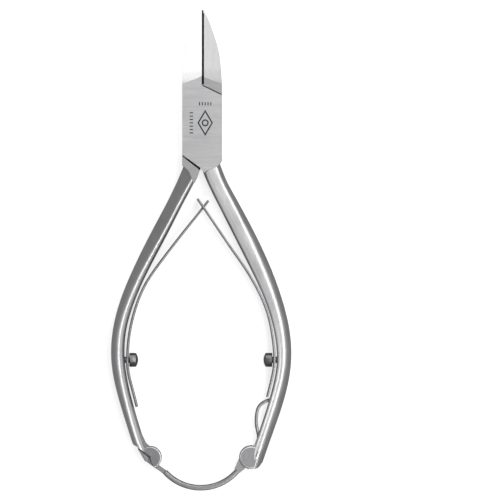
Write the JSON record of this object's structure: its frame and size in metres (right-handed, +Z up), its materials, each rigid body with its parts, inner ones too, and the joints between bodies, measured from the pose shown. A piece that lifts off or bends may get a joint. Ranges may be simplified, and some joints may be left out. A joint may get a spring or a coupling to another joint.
{
  "type": "nail nipper",
  "caption": "Box-joint nail nipper with tapered cutting jaws, bowed handles, crossed leaf springs and a hinged locking strap across the handle ends.",
  "frame": {"origin": "on the box joint's pivot axis, in the plane of the underside", "axes": "+Y towards the jaws' tip, +Z up through the front face, +X towards the right jaw seen from the front"},
  "size_m": [0.0509, 0.1359, 0.0093],
  "materials": {
    "halves_steel": "satin, fine brushing across the box faces",
    "spring_steel": "satin, brushed lengthwise",
    "screw_steel": "darker satin",
    "strap_steel": "satin, brushed lengthwise",
    "pin_steel": "ground"
  },
  "bodies": {
    "box_side": {"box_half": "halves_steel", "pivot_pin": "pin_steel", "right_spring": "spring_steel", "right_spring_screw": "screw_steel", "latch_hinge_pin": "pin_steel", "latch_spring": "spring_steel"},
    "tongue_side": {"tongue_half": "halves_steel", "left_spring": "spring_steel", "left_spring_screw": "screw_steel"},
    "latch": {"latch_strap": "strap_steel"}
  },
  "joints": [
    {"name": "jaw_pivot", "type": "hinge", "parent": "box_side", "child": "tongue_side", "pos_m": [0, 0, 0], "axis": [0, 0, -1], "range_deg": [0, 16], "deforming": ["left_spring", "right_spring"]},
    {"name": "latch_swing", "type": "hinge", "parent": "box_side", "child": "latch", "pos_m": [0.0138, -0.0933, 0], "axis": [0, 0, 1], "range_deg": [0, 112]}
  ],
  "couplings": [
    {"joint": "latch_swing", "follows": "jaw_pivot", "ratio": 7}
  ]
}
